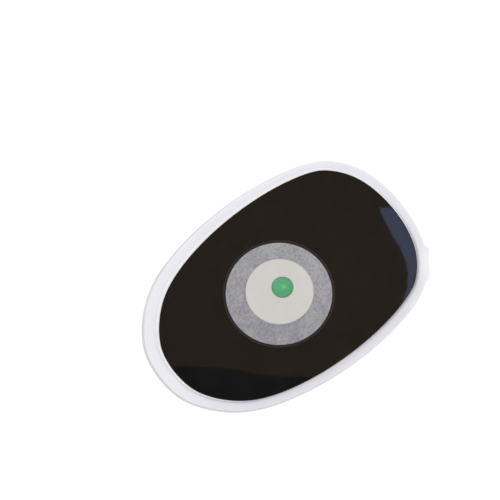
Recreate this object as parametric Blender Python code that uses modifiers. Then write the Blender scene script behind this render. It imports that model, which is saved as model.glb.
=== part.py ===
"""Trainer electrode pad, lying on its back with its sticky face up and its release liner on.

A soft egg-shaped pad carries a small contact sensor. The sensor's push button stands up through
the sticky face, and the sensor's base shows as a disc on the back. Lengths are in metres, +Z is up
and +X runs along the pad towards its wide end. The origin is the centre of the whole part's box,
on the surface that the pad lies on.
"""

import math

import bmesh
import bpy
from mathutils import Vector

MM = 0.001
COLLECTION = "electrode_pad"
CUTTER_COLLECTION = "electrode_pad_cutters"

# Black sticky face: an egg that is symmetric about the X axis
FACE_LENGTH = 133.0 * MM
FACE_WIDTH = 89.0 * MM
EGG_TAPER = 1.6 * MM
CORNER_FILL = 2.2 * MM
END_CURL = 0.5 * MM
SIDE_FLATNESS = 0.28 * MM
FACE_THICKNESS = 0.5 * MM
FACE_EDGE_RADIUS = 0.2 * MM

# Foam backing, cut a little larger than the face and laid slightly to one side of it
BACKING_MARGIN = 0.8 * MM
BACKING_SLIP = Vector((-0.4 * MM, 0.7 * MM))
BACKING_THICKNESS = 1.5 * MM

# Round plateau that the sensor's flange presses out of the back
PLATEAU_DROP = 0.5 * MM
PLATEAU_SLOPE = 3.6 * MM

# Clear release liner with a lift tab, laid on a little askew
LINER_MARGIN = 6.0 * MM
LINER_STRETCH = 0.4 * MM
LINER_SLIP = Vector((-1.6 * MM, 0.6 * MM))
LINER_TURN = math.radians(-1.6)
LINER_THICKNESS = 0.15 * MM
LINER_HOLE_MARGIN = 1.3 * MM
TAB_BEARING = math.radians(-35.5)
TAB_WIDTH = 15.4 * MM
TAB_FLARE = 1.9 * MM
TAB_REACH = 1.15 * MM
TAB_ROOT_RADIUS = 1.5 * MM
TAB_CORNER_RADIUS = 0.7 * MM

# Grey fabric ring round the sensor, placed from the centre of the face
RING_CENTRE = Vector((-4.8 * MM, 0.0))
RING_RADIUS = 25.5 * MM

# Sensor base: a boss that shows on the back and a flange under the ring
SENSOR_OFFSET = Vector((0.86 * MM, 0.5 * MM))
BOSS_RADIUS = 14.9 * MM
BOSS_PROUD = 0.4 * MM
BOSS_CHAMFER = 0.3 * MM
FLANGE_RADIUS = 23.5 * MM
BASE_FLOOR = 0.8 * MM
BASE_WALL = 1.3 * MM

# Sensor cover: the white disc
COVER_RADIUS = 16.4 * MM
COVER_OVERHANG = 0.35 * MM
COVER_THICKNESS = 0.6 * MM
COVER_EDGE_RADIUS = 0.5 * MM
LIP_WALL = 0.8 * MM
LIP_DEPTH = 0.7 * MM
POST_COUNT = 3
POST_RADIUS = 0.8 * MM
POST_INSET = 2.0 * MM
POST_BEARING = math.radians(100.0)

# Circuit board, on a ledge inside the base and turned by a key there
BOARD_THICKNESS = 0.6 * MM
LEDGE_HEIGHT = 0.4 * MM
LEDGE_WIDTH = 1.2 * MM
KEY_RADIUS = 0.7 * MM
KEY_BEARING = math.radians(220.0)

# Push button and the small switch under it
BUTTON_OFFSET = Vector((2.34 * MM, 0.85 * MM))
BUTTON_RADIUS = 5.05 * MM
BUTTON_PROUD = 1.5 * MM
BUTTON_DOME_POWER = 2.2
BUTTON_WALL = 1.0 * MM
BUTTON_FLANGE_WIDTH = 0.95 * MM
BUTTON_FLANGE_THICKNESS = 0.4 * MM
BUTTON_TRAVEL = 0.6 * MM
STEM_RADIUS = 1.2 * MM
SWITCH_WIDTH = 5.0 * MM
SWITCH_HEIGHT = 1.2 * MM
SWITCH_BEVEL = 0.15 * MM
PLUNGER_RADIUS = 1.0 * MM
PLUNGER_DEPTH = 0.3 * MM

# Clearances
LAID_GAP = 0.3 * MM
SNUG_GAP = 0.2 * MM
SLIDING_GAP = 0.1 * MM

# Levels above the surface that the pad lies on
PLATEAU_UNDER = BOSS_PROUD
FIELD_UNDER = PLATEAU_UNDER + PLATEAU_DROP
FIELD_TOP = FIELD_UNDER + BACKING_THICKNESS
FACE_TOP = FIELD_TOP + FACE_THICKNESS
FLANGE_UNDER = PLATEAU_UNDER + BACKING_THICKNESS
FLANGE_TOP = FIELD_TOP
BOARD_UNDER = BASE_FLOOR + LEDGE_HEIGHT
BOARD_TOP = BOARD_UNDER + BOARD_THICKNESS
COVER_UNDER = FACE_TOP
COVER_TOP = COVER_UNDER + COVER_THICKNESS
BUTTON_TOP = COVER_TOP + BUTTON_PROUD
SWITCH_TOP = BOARD_TOP + SWITCH_HEIGHT
PLUNGER_UNDER = SWITCH_TOP - PLUNGER_DEPTH
PLUNGER_TOP = SWITCH_TOP + BUTTON_TRAVEL + SLIDING_GAP

# Centres and radii that follow from the sizes above
SENSOR_CENTRE = RING_CENTRE + SENSOR_OFFSET
BUTTON_CENTRE = SENSOR_CENTRE + BUTTON_OFFSET
CAVITY_RADIUS = BOSS_RADIUS - BASE_WALL
BOARD_RADIUS = CAVITY_RADIUS - LAID_GAP
RIM_RADIUS = COVER_RADIUS - COVER_OVERHANG
LIP_RADIUS = CAVITY_RADIUS - SNUG_GAP
DISH_RADIUS = FLANGE_RADIUS + SNUG_GAP
PLATEAU_RADIUS = DISH_RADIUS + BACKING_THICKNESS

# How finely curves are cut into straight edges
OUTLINE_STEPS = 120
CIRCLE_STEPS = 72
BUTTON_STEPS = 48
SMALL_CIRCLE_STEPS = 32
ARC_STEPS = 4
DOME_STEPS = 8
HALVINGS = 40

WELD_DISTANCE = 0.001 * MM
CUTTER_OVERRUN = 1.0 * MM
SMOOTH_ANGLE = math.radians(35.0)


# Scene


def clear_scene():
    for obj in list(bpy.data.objects):
        bpy.data.objects.remove(obj, do_unlink=True)


def new_collection(name):
    collection = bpy.data.collections.new(name)
    bpy.context.scene.collection.children.link(collection)
    return collection


def add_object(name, data, collection, centre=Vector((0.0, 0.0)), height=0.0):
    obj = bpy.data.objects.new(name, data)
    obj.location = (centre.x, centre.y, height)
    collection.objects.link(obj)
    return obj


def as_cutter(obj):
    obj.hide_render = True
    obj.display_type = "WIRE"
    return obj


def add_material(obj, colour, roughness, alpha=1.0):
    """Gives a piece its own material, named after it."""
    material = bpy.data.materials.new(obj.name)
    material.use_nodes = True
    shader = material.node_tree.nodes["Principled BSDF"]
    shader.inputs["Base Color"].default_value = (*colour, 1.0)
    shader.inputs["Roughness"].default_value = roughness
    shader.inputs["Metallic"].default_value = 0.0
    shader.inputs["Alpha"].default_value = alpha
    obj.data.materials.append(material)


# Flat outlines


def direction(bearing):
    return Vector((math.cos(bearing), math.sin(bearing)))


def rotated(point, turn):
    return point.x * direction(turn) + point.y * direction(turn + math.pi / 2)


def egg_point(bearing, grow, stretched=0.0):
    """The point of the face's outline, grown by some margin, where its normal has this bearing.

    The outline's reach along each bearing is a sum of cosines, so the outline closes on itself and
    a margin adds the same to all of it. The point lies across from that reach by its slope. A
    stretched outline has more margin at its ends and less at its sides.
    """
    mean = (FACE_LENGTH + FACE_WIDTH) / 4 + CORNER_FILL + SIDE_FLATNESS
    stretch = (FACE_LENGTH - FACE_WIDTH) / 4 - END_CURL + stretched
    waves = ((2, stretch), (3, -EGG_TAPER), (4, -CORNER_FILL), (6, END_CURL), (8, -SIDE_FLATNESS))
    reach = mean + grow + sum(size * math.cos(count * bearing) for count, size in waves)
    slope = -sum(count * size * math.sin(count * bearing) for count, size in waves)
    return reach * direction(bearing) + slope * direction(bearing + math.pi / 2)


def egg(grow, slip=Vector((0.0, 0.0))):
    return [egg_point(math.tau * step / OUTLINE_STEPS, grow) + slip for step in range(OUTLINE_STEPS)]


def circle(centre, radius, steps=CIRCLE_STEPS):
    return [centre + radius * direction(math.tau * step / steps) for step in range(steps)]


def rounded_corner(before, corner, after, radius):
    """The arc that rounds a corner of an outline, as points from one side to the other."""
    back = (before - corner).normalized()
    ahead = (after - corner).normalized()
    half = back.angle(ahead) / 2
    centre = corner + (back + ahead).normalized() * radius / math.sin(half)
    spoke = corner + back * radius / math.tan(half) - centre
    turn = math.copysign(math.pi - 2 * half, back.y * ahead.x - back.x * ahead.y)
    return [centre + rotated(spoke, turn * step / ARC_STEPS) for step in range(ARC_STEPS + 1)]


def liner_point(bearing):
    return egg_point(bearing, LINER_MARGIN, LINER_STRETCH)


def bearing_beside_tab(offset):
    """The bearing where the liner's edge lies this far to one side of the tab's centre line."""
    sideways = direction(TAB_BEARING + math.pi / 2)
    middle = liner_point(TAB_BEARING)
    near, far = 0.0, math.copysign(math.pi / 2, offset)
    for _ in range(HALVINGS):
        tried = (near + far) / 2
        reached = (liner_point(TAB_BEARING + tried) - middle).dot(sideways)
        if abs(reached) < abs(offset):
            near = tried
        else:
            far = tried
    return TAB_BEARING + near


def liner_outline():
    """The widely grown egg with a lift tab, which is wider at its root, standing out of it."""
    half_root = TAB_WIDTH / 2 + TAB_FLARE
    first = bearing_beside_tab(half_root + TAB_ROOT_RADIUS)
    last = bearing_beside_tab(-half_root - TAB_ROOT_RADIUS) + math.tau
    edge = [liner_point(first + (last - first) * step / OUTLINE_STEPS) for step in range(OUTLINE_STEPS + 1)]

    tip = liner_point(TAB_BEARING) + TAB_REACH * direction(TAB_BEARING)
    sideways = TAB_WIDTH / 2 * direction(TAB_BEARING + math.pi / 2)
    roots = [liner_point(bearing_beside_tab(side)) for side in (-half_root, half_root)]
    corners = [edge[-1], roots[0], tip - sideways, tip + sideways, roots[1], edge[0]]
    radii = [TAB_ROOT_RADIUS, TAB_CORNER_RADIUS, TAB_CORNER_RADIUS, TAB_ROOT_RADIUS]
    tab = []
    for before, corner, after, radius in zip(corners, corners[1:], corners[2:], radii):
        tab += rounded_corner(before, corner, after, radius)
    return [rotated(point, LINER_TURN) + LINER_SLIP for point in edge + tab]


def middle_of_box(points):
    xs = [point.x for point in points]
    ys = [point.y for point in points]
    return Vector((min(xs) + max(xs), min(ys) + max(ys))) / 2


# Making solids


def cut_sheet(name, outlines, under, top, collection, edge_radius=0.0):
    """A flat sheet cut to the first outline, with a hole for each further one."""
    curve = bpy.data.curves.new(name, "CURVE")
    curve.dimensions = "2D"
    curve.fill_mode = "BOTH"
    curve.extrude = (top - under) / 2 - edge_radius
    curve.bevel_depth = edge_radius
    curve.bevel_resolution = 1
    curve.offset = -edge_radius
    for outline in outlines:
        spline = curve.splines.new("POLY")
        spline.points.add(len(outline) - 1)
        for point, place in zip(spline.points, outline):
            point.co = (place.x, place.y, 0.0, 1.0)
        spline.use_cyclic_u = True
    return add_object(name, curve, collection, height=(under + top) / 2)


def as_mesh(obj, collection):
    """Puts a welded mesh in the place of a curve, under the same name."""
    bpy.context.view_layer.update()
    graph = bpy.context.evaluated_depsgraph_get()
    mesh = bpy.data.meshes.new_from_object(obj.evaluated_get(graph))
    shape = bmesh.new()
    shape.from_mesh(mesh)
    bmesh.ops.remove_doubles(shape, verts=shape.verts, dist=WELD_DISTANCE)
    shape.to_mesh(mesh)
    shape.free()
    name, matrix = obj.name, obj.matrix_world.copy()
    bpy.data.objects.remove(obj, do_unlink=True)
    result = add_object(name, mesh, collection)
    result.matrix_world = matrix
    return result


def turned(name, profile, collection, centre, steps=CIRCLE_STEPS):
    """A round solid: the profile's (radius, height) points run from the top down the outside."""
    mesh = bpy.data.meshes.new(name)
    points = [(radius, 0.0, height) for radius, height in profile]
    mesh.from_pydata(points, [(index, index + 1) for index in range(len(points) - 1)], [])
    obj = add_object(name, mesh, collection, centre)
    screw = obj.modifiers.new("Turn", "SCREW")
    screw.steps = steps
    screw.render_steps = steps
    screw.use_merge_vertices = True
    screw.merge_threshold = WELD_DISTANCE
    return obj


def cylinder(name, radius, under, top, collection, centre):
    """An upright cylinder between two levels."""
    mesh = bpy.data.meshes.new(name)
    shape = bmesh.new()
    bmesh.ops.create_cone(
        shape,
        cap_ends=True,
        segments=SMALL_CIRCLE_STEPS,
        radius1=radius,
        radius2=radius,
        depth=top - under,
    )
    shape.to_mesh(mesh)
    shape.free()
    return add_object(name, mesh, collection, centre, (under + top) / 2)


def combine(obj, other, operation):
    boolean = obj.modifiers.new(other.name, "BOOLEAN")
    boolean.operation = operation
    boolean.solver = "EXACT"
    boolean.object = as_cutter(other)


def shade_smooth(obj):
    """Smooth shading with sharp edges kept, after the piece's other modifiers."""
    obj.data.shade_smooth()
    if obj.modifiers:
        graph = bpy.context.evaluated_depsgraph_get()
        obj.data = bpy.data.meshes.new_from_object(obj.evaluated_get(graph))
        obj.modifiers.clear()
    obj.data.set_sharp_from_angle(angle=SMOOTH_ANGLE)


# Pad


def make_release_liner(parts):
    hole = circle(RING_CENTRE, RING_RADIUS + LINER_HOLE_MARGIN)
    liner = cut_sheet("release_liner", [liner_outline(), hole], FACE_TOP, FACE_TOP + LINER_THICKNESS, parts)
    add_material(liner, (0.86, 0.85, 0.90), roughness=0.08, alpha=0.25)


def make_adhesive_face(parts):
    hole = circle(RING_CENTRE, RING_RADIUS + LAID_GAP)
    face = cut_sheet("adhesive_face", [egg(0.0), hole], FIELD_TOP, FACE_TOP, parts, FACE_EDGE_RADIUS)
    add_material(face, (0.012, 0.010, 0.009), roughness=0.3)


def make_fabric_ring(parts):
    hole = circle(SENSOR_CENTRE, RIM_RADIUS + LAID_GAP)
    ring = cut_sheet("fabric_ring", [circle(RING_CENTRE, RING_RADIUS), hole], FIELD_TOP, FACE_TOP, parts)
    add_material(ring, (0.36, 0.35, 0.38), roughness=0.95)


def plateau_profile():
    """The plateau's flat underside and the soft slope that leads up to the field round it."""
    inside = (FIELD_UNDER + FIELD_TOP) / 2
    outer = PLATEAU_RADIUS + PLATEAU_SLOPE
    slope = []
    for step in range(DOME_STEPS, -1, -1):
        share = step / DOME_STEPS
        slope.append((PLATEAU_RADIUS + PLATEAU_SLOPE * share, PLATEAU_UNDER + PLATEAU_DROP * share**2))
    return [(0.0, inside), (outer + BACKING_THICKNESS, inside), *slope, (0.0, PLATEAU_UNDER)]


def make_foam_backing(parts, cutters):
    """A cut sheet, pressed out round the sensor's flange and open for the sensor's boss."""
    sheet = cut_sheet("foam_backing", [egg(BACKING_MARGIN, BACKING_SLIP)], FIELD_UNDER, FIELD_TOP, parts)
    backing = as_mesh(sheet, parts)
    plateau = turned("backing_plateau", plateau_profile(), cutters, SENSOR_CENTRE)
    above = FIELD_TOP + CUTTER_OVERRUN
    dish_profile = [(0.0, above), (DISH_RADIUS, above), (DISH_RADIUS, FLANGE_UNDER), (0.0, FLANGE_UNDER)]
    dish = turned("backing_dish", dish_profile, cutters, SENSOR_CENTRE)
    hole_radius = BOSS_RADIUS + LAID_GAP
    below = -CUTTER_OVERRUN
    hole_profile = [(0.0, above), (hole_radius, above), (hole_radius, below), (0.0, below)]
    hole = turned("backing_hole", hole_profile, cutters, SENSOR_CENTRE)
    combine(backing, plateau, "UNION")
    combine(backing, dish, "DIFFERENCE")
    combine(backing, hole, "DIFFERENCE")
    shade_smooth(backing)
    add_material(backing, (0.70, 0.69, 0.67), roughness=0.6)


# Sensor


def make_sensor_base(parts, cutters):
    """A dish that holds the board and carries the cover on its rim."""
    profile = [
        (0.0, BASE_FLOOR),
        (CAVITY_RADIUS - LEDGE_WIDTH, BASE_FLOOR),
        (CAVITY_RADIUS - LEDGE_WIDTH, BOARD_UNDER),
        (CAVITY_RADIUS, BOARD_UNDER),
        (CAVITY_RADIUS, COVER_UNDER),
        (RIM_RADIUS, COVER_UNDER),
        (RIM_RADIUS, FLANGE_TOP),
        (FLANGE_RADIUS, FLANGE_TOP),
        (FLANGE_RADIUS, FLANGE_UNDER),
        (BOSS_RADIUS, FLANGE_UNDER),
        (BOSS_RADIUS, BOSS_CHAMFER),
        (BOSS_RADIUS - BOSS_CHAMFER, 0.0),
        (0.0, 0.0),
    ]
    base = turned("sensor_base", profile, parts, SENSOR_CENTRE)
    key_centre = SENSOR_CENTRE + CAVITY_RADIUS * direction(KEY_BEARING)
    key = cylinder("base_key", KEY_RADIUS, BASE_FLOOR / 2, BOARD_TOP, cutters, key_centre)
    combine(base, key, "UNION")
    shade_smooth(base)
    add_material(base, (0.78, 0.76, 0.71), roughness=0.5)


def make_circuit_board(parts, cutters):
    outline = circle(SENSOR_CENTRE, BOARD_RADIUS)
    board = as_mesh(cut_sheet("circuit_board", [outline], BOARD_UNDER, BOARD_TOP, parts), parts)
    notch_centre = SENSOR_CENTRE + CAVITY_RADIUS * direction(KEY_BEARING)
    under, top = BOARD_UNDER - CUTTER_OVERRUN, BOARD_TOP + CUTTER_OVERRUN
    notch = cylinder("board_notch", KEY_RADIUS + LAID_GAP, under, top, cutters, notch_centre)
    combine(board, notch, "DIFFERENCE")
    shade_smooth(board)
    add_material(board, (0.05, 0.22, 0.12), roughness=0.45)


def cover_edge():
    """The cover's rounded upper edge."""
    points = []
    for step in range(ARC_STEPS + 1):
        spoke = COVER_EDGE_RADIUS * direction(math.pi / 2 * (1 - step / ARC_STEPS))
        points.append((COVER_RADIUS - COVER_EDGE_RADIUS + spoke.x, COVER_TOP - COVER_EDGE_RADIUS + spoke.y))
    return points


def make_sensor_cover(parts, cutters):
    """A cap with a lip that drops into the base and posts that hold the board down."""
    lip_under = COVER_UNDER - LIP_DEPTH
    profile = [
        (0.0, COVER_TOP),
        *cover_edge(),
        (COVER_RADIUS, COVER_UNDER),
        (LIP_RADIUS, COVER_UNDER),
        (LIP_RADIUS, lip_under),
        (LIP_RADIUS - LIP_WALL, lip_under),
        (LIP_RADIUS - LIP_WALL, COVER_UNDER),
        (0.0, COVER_UNDER),
    ]
    cover = turned("sensor_cover", profile, parts, SENSOR_CENTRE)
    inside = (COVER_UNDER + COVER_TOP) / 2
    for number in range(POST_COUNT):
        bearing = POST_BEARING + math.tau * number / POST_COUNT
        centre = SENSOR_CENTRE + (BOARD_RADIUS - POST_INSET) * direction(bearing)
        post = cylinder(f"cover_post_{number + 1}", POST_RADIUS, BOARD_TOP, inside, cutters, centre)
        combine(cover, post, "UNION")
    hole_under, hole_top = COVER_UNDER - CUTTER_OVERRUN, COVER_TOP + CUTTER_OVERRUN
    hole_radius = BUTTON_RADIUS + SNUG_GAP
    hole_profile = [(0.0, hole_top), (hole_radius, hole_top), (hole_radius, hole_under), (0.0, hole_under)]
    hole = turned("cover_hole", hole_profile, cutters, BUTTON_CENTRE, BUTTON_STEPS)
    combine(cover, hole, "DIFFERENCE")
    shade_smooth(cover)
    add_material(cover, (0.64, 0.61, 0.56), roughness=0.7)


def button_dome():
    """The button's top, from its centre down to its straight side, as a rounded oblong curve."""
    power = 2 / BUTTON_DOME_POWER
    points = []
    for step in range(DOME_STEPS + 1):
        angle = math.pi / 2 * step / DOME_STEPS
        radius = BUTTON_RADIUS * math.sin(angle) ** power
        height = BUTTON_PROUD * max(math.cos(angle), 0.0) ** power if step < DOME_STEPS else 0.0
        points.append((radius, COVER_TOP + height))
    return points


def make_sensor_button(parts):
    """A hollow cap, kept in by a flange under the cover, with a stem that works the switch."""
    flange_radius = BUTTON_RADIUS + BUTTON_FLANGE_WIDTH
    flange_under = COVER_UNDER - BUTTON_FLANGE_THICKNESS
    hollow_radius = BUTTON_RADIUS - BUTTON_WALL
    ceiling = BUTTON_TOP - BUTTON_WALL
    profile = [
        *button_dome(),
        (BUTTON_RADIUS, COVER_UNDER),
        (flange_radius, COVER_UNDER),
        (flange_radius, flange_under),
        (hollow_radius, flange_under),
        (hollow_radius, ceiling),
        (STEM_RADIUS, ceiling),
        (STEM_RADIUS, PLUNGER_TOP),
        (0.0, PLUNGER_TOP),
    ]
    button = turned("sensor_button", profile, parts, BUTTON_CENTRE, BUTTON_STEPS)
    shade_smooth(button)
    add_material(button, (0.07, 0.42, 0.17), roughness=0.35)


def make_switch(parts, cutters):
    """A small surface switch: a square case with a round plunger in its top."""
    shape = bmesh.new()
    bmesh.ops.create_cube(shape, size=1.0)
    bmesh.ops.scale(shape, vec=(SWITCH_WIDTH, SWITCH_WIDTH, SWITCH_HEIGHT), verts=shape.verts)
    mesh = bpy.data.meshes.new("switch_case")
    shape.to_mesh(mesh)
    shape.free()
    case = add_object("switch_case", mesh, parts, BUTTON_CENTRE, (BOARD_TOP + SWITCH_TOP) / 2)
    bevel = case.modifiers.new("Edges", "BEVEL")
    bevel.width = SWITCH_BEVEL
    bevel.segments = 2
    bore_under = PLUNGER_UNDER - BUTTON_TRAVEL - SLIDING_GAP
    bore_radius = PLUNGER_RADIUS + SLIDING_GAP
    bore = cylinder(
        "switch_bore", bore_radius, bore_under, SWITCH_TOP + CUTTER_OVERRUN, cutters, BUTTON_CENTRE
    )
    combine(case, bore, "DIFFERENCE")
    shade_smooth(case)
    add_material(case, (0.03, 0.03, 0.03), roughness=0.5)

    plunger = cylinder("switch_plunger", PLUNGER_RADIUS, PLUNGER_UNDER, PLUNGER_TOP, parts, BUTTON_CENTRE)
    shade_smooth(plunger)
    add_material(plunger, (0.75, 0.74, 0.70), roughness=0.4)


def place_on_origin(parts, cutters):
    """Puts the middle of the liner's box, the part's largest outline, on the origin."""
    middle = middle_of_box(liner_outline())
    frame = add_object("pad_frame", None, parts, -middle)
    for obj in [*parts.objects, *cutters.objects]:
        if obj is not frame:
            obj.parent = frame


def main():
    clear_scene()
    parts = new_collection(COLLECTION)
    cutters = new_collection(CUTTER_COLLECTION)
    make_foam_backing(parts, cutters)
    make_adhesive_face(parts)
    make_fabric_ring(parts)
    make_release_liner(parts)
    make_sensor_base(parts, cutters)
    make_circuit_board(parts, cutters)
    make_sensor_cover(parts, cutters)
    make_sensor_button(parts)
    make_switch(parts, cutters)
    place_on_origin(parts, cutters)


main()
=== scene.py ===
"""Looks of the trainer electrode pad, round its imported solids.

The soft layers are modelled again with more form: the clear liner, the black sticky face, the
non-woven ring with its fibres and the foam backing. The moulded pieces keep their solids and get
finishes. A plain studio with a pale floor stands round the pad. Lengths are in metres, +Z is up,
and the scale of a texture is its number of features per metre.
"""

import math
import random

import bpy
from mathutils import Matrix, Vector, noise


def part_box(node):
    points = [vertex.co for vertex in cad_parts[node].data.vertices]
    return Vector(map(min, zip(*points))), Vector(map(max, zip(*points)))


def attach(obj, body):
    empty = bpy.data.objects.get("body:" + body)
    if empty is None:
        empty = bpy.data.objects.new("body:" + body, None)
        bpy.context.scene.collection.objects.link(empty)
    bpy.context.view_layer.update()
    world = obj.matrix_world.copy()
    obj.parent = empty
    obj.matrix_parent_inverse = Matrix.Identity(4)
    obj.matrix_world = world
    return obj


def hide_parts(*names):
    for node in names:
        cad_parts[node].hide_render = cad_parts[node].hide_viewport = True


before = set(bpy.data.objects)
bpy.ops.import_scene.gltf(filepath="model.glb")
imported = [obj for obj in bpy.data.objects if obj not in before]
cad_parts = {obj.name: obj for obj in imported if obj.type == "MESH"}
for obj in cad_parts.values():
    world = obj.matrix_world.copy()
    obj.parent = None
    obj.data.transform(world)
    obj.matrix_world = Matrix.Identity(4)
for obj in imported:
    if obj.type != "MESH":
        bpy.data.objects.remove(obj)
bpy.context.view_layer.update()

MM = 0.001
SEED = 11
WHITE = (1.0, 1.0, 1.0)

# Shape of the egg outline and of the liner's lift tab, as in the solids
EGG_TAPER = 1.6 * MM
CORNER_FILL = 2.2 * MM
END_CURL = 0.5 * MM
SIDE_FLATNESS = 0.28 * MM
LINER_MARGIN = 6.0 * MM
LINER_STRETCH = 0.4 * MM
LINER_SLIP = Vector((-1.6 * MM, 0.6 * MM))
LINER_TURN = math.radians(-1.6)
LINER_HOLE_MARGIN = 1.3 * MM
TAB_BEARING = math.radians(-35.5)
TAB_WIDTH = 15.4 * MM
TAB_FLARE = 1.9 * MM
TAB_REACH = 1.15 * MM
TAB_ROOT_RADIUS = 1.5 * MM
TAB_CORNER_RADIUS = 0.7 * MM

# Backing and ring, as in the solids
BACKING_MARGIN = 0.8 * MM
BACKING_SLIP = Vector((-0.4 * MM, 0.7 * MM))
BACKING_THICKNESS = 1.5 * MM
PLATEAU_SLOPE = 3.6 * MM
DISH_CLEARANCE = 0.2 * MM
LAID_GAP = 0.3 * MM
BOSS_RADIUS = 14.9 * MM
COVER_OVERHANG = 0.35 * MM

# Form that only the looks have
CONTACT_GAP = 0.02 * MM
FACE_EDGE_RADIUS = 0.22 * MM
FACE_HOLE_EDGE_RADIUS = 0.45 * MM
FACE_FOOT_WIDTH = 0.25 * MM
FACE_FOOT_THICKNESS = 4 * CONTACT_GAP
FOAM_EDGE_RADIUS = 0.7 * MM
FOAM_SIDE_HOLLOW = 0.03 * MM
RING_EDGE_RADIUS = 0.12 * MM
RING_LUMPS = 0.05 * MM
RING_LUMPS_PER_METRE = 900.0
FILM_EDGE_RADIUS = 0.04 * MM
FILM_LIFT = 0.06 * MM
FILM_FLAT_END = 0.20 * MM
FILM_SHOULDER_DROP = 0.30 * MM
FILM_SHOULDER_WIDTH = 1.8 * MM
FILM_BORDER_WIDTH = 0.45 * MM
FILM_BORDER_DROP = 0.08 * MM
FILM_WAVES_PER_METRE = 30.0
NARROWEST_RIM = 0.05 * MM

# The felt's loose fibres. Bends are in radians, rises and sinks in fibre radii
FIBRE_COUNT = 1500
FIBRE_RADIUS = 0.035 * MM
FIBRE_STEP = 0.9 * MM
FIBRE_POINTS = 7
FIBRE_FEWEST_POINTS = 3
FIBRE_SIDES = 3
FIBRE_BEND = 0.35
FIBRE_WANDER = 0.25
FIBRE_RISE = 0.8
FIBRE_LEAST_SUNK = 0.5
FIBRE_MOST_SUNK = 3.0

# Where the film's tint and the felt's tone change. The free film's drift, its lighter patch by the tab,
# its darker patch on the near side and its darker step are painted light and shade
FILM_DRIFT_REACH = 50.0 * MM
FREE_FILM_SHADE_DRIFT = math.radians(135.0)
TAB_LIGHT_NEAR = 3.0 * MM
TAB_LIGHT_FAR = 11.0 * MM
STEP_SHADE_BEARING = math.radians(-58.0)
STEP_SHADE_NEAR = 18.0 * MM
STEP_SHADE_FAR = 54.0 * MM
NEAR_SHADE_CENTRE = Vector((-20.0 * MM, -50.0 * MM, 3.0 * MM))
NEAR_SHADE_NEAR = 30.0 * MM
NEAR_SHADE_FAR = 62.0 * MM
FELT_DRIFT = math.radians(30.0)
FELT_DRIFT_REACH = 38.0 * MM

# How finely the soft layers are cut
OUTLINE_STEPS = 240
ARC_STEPS = 5
SURFACE_ROWS = 16
SHOULDER_ROWS = 6
FREE_ROWS = 8
HALVINGS = 40
SHARP_ANGLE = math.radians(40.0)

# Material slots of the film and of the black face, in order. The first takes what no band covers
FILM_TOP, FILM_FREE, FILM_LAID, FILM_CUT, FILM_BORDER, FILM_HOLE_CUT = range(6)
FACE_BARE, FACE_COVERED = range(2)

# Gloss of the film, also where the sheet under it carries that gloss
FILM_IOR = 1.5
FILM_ROUGHNESS = (0.01, 0.03)

# Camera, as the photo was taken
CAMERA_AZIMUTH = math.radians(-38.4)
CAMERA_ELEVATION = math.radians(73.0)
CAMERA_DISTANCE = 3.0
VIEW_WIDTH = 0.240
VIEW_CENTRE = Vector((0.0011, 0.0253, 0.0029))
CLIP_NEAR = 0.05
CLIP_FAR = 20.0

# Floor and walls of the studio. The walls' top and the ceiling's start are sines of elevations
FLOOR_REACH = 3.0
FLOOR_GLOW = 0.62
WALL_COLOUR = (0.70, 0.70, 0.72)
WALL_TOP = 0.62
CEILING_COLOUR = (0.50, 0.49, 0.49)
CEILING_START = 0.86

# Reflections in the glossy face, as corners in the photo's pixels
PHOTO_PIXELS = 500
WINDOW_PIXELS = [
    (379, 207.5), (384, 220), (392, 236), (400, 248), (405, 260), (408, 273), (407, 287),
    (402, 303), (395, 316), (404, 322), (414, 308), (420, 290), (421, 272), (420, 256), (415, 238),
    (408, 222), (398, 207.5),
]
HIGHLIGHT_PIXELS = [(276, 270), (320, 270), (320, 314), (276, 314)]
GLOW_PIXELS = [(232, 240), (332, 240), (332, 338), (232, 338)]
CEILING_PIXELS = [(60, 60), (520, 60), (520, 520), (60, 520)]
DARK_PIXELS = [
    (100, 366), (215, 366), (235, 368), (253, 373), (280, 375), (340, 378), (400, 450), (100, 450),
]


class Box:
    """Where a CAD node lies: its middle, sizes and levels."""

    def __init__(self, node):
        low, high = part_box(node)
        self.centre = Vector(((low.x + high.x) / 2, (low.y + high.y) / 2))
        self.length = high.x - low.x
        self.width = high.y - low.y
        self.radius = self.length / 2
        self.under = low.z
        self.top = high.z


face_box = Box("adhesive_face")
foam_box = Box("foam_backing")
ring_box = Box("fabric_ring")
liner_box = Box("release_liner")
base_box = Box("sensor_base")
cover_box = Box("sensor_cover")
egg_centre = face_box.centre + Vector((EGG_TAPER, 0.0))
ring_hole_radius = cover_box.radius - COVER_OVERHANG + LAID_GAP
film_under = liner_box.under + CONTACT_GAP


# Outlines


def direction(bearing):
    return Vector((math.cos(bearing), math.sin(bearing)))


def rotated(point, turn):
    return point.x * direction(turn) + point.y * direction(turn + math.pi / 2)


def egg_point(bearing, grow, stretched=0.0):
    """The point of the face's outline, grown by some margin, where its normal has this bearing.

    A stretched outline has more margin at its ends and less at its sides.
    """
    length, width = face_box.length, face_box.width
    mean = (length + width) / 4 + CORNER_FILL + SIDE_FLATNESS
    stretch = (length - width) / 4 - END_CURL + stretched
    waves = ((2, stretch), (3, -EGG_TAPER), (4, -CORNER_FILL), (6, END_CURL), (8, -SIDE_FLATNESS))
    reach = mean + grow + sum(size * math.cos(count * bearing) for count, size in waves)
    slope = -sum(count * size * math.sin(count * bearing) for count, size in waves)
    return reach * direction(bearing) + slope * direction(bearing + math.pi / 2)


def bearings():
    return [math.tau * step / OUTLINE_STEPS for step in range(OUTLINE_STEPS)]


def egg(grow, slip=Vector((0.0, 0.0))):
    return [egg_point(bearing, grow) + slip + egg_centre for bearing in bearings()]


def circle(centre, radius):
    return [centre + radius * direction(bearing) for bearing in bearings()]


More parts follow.
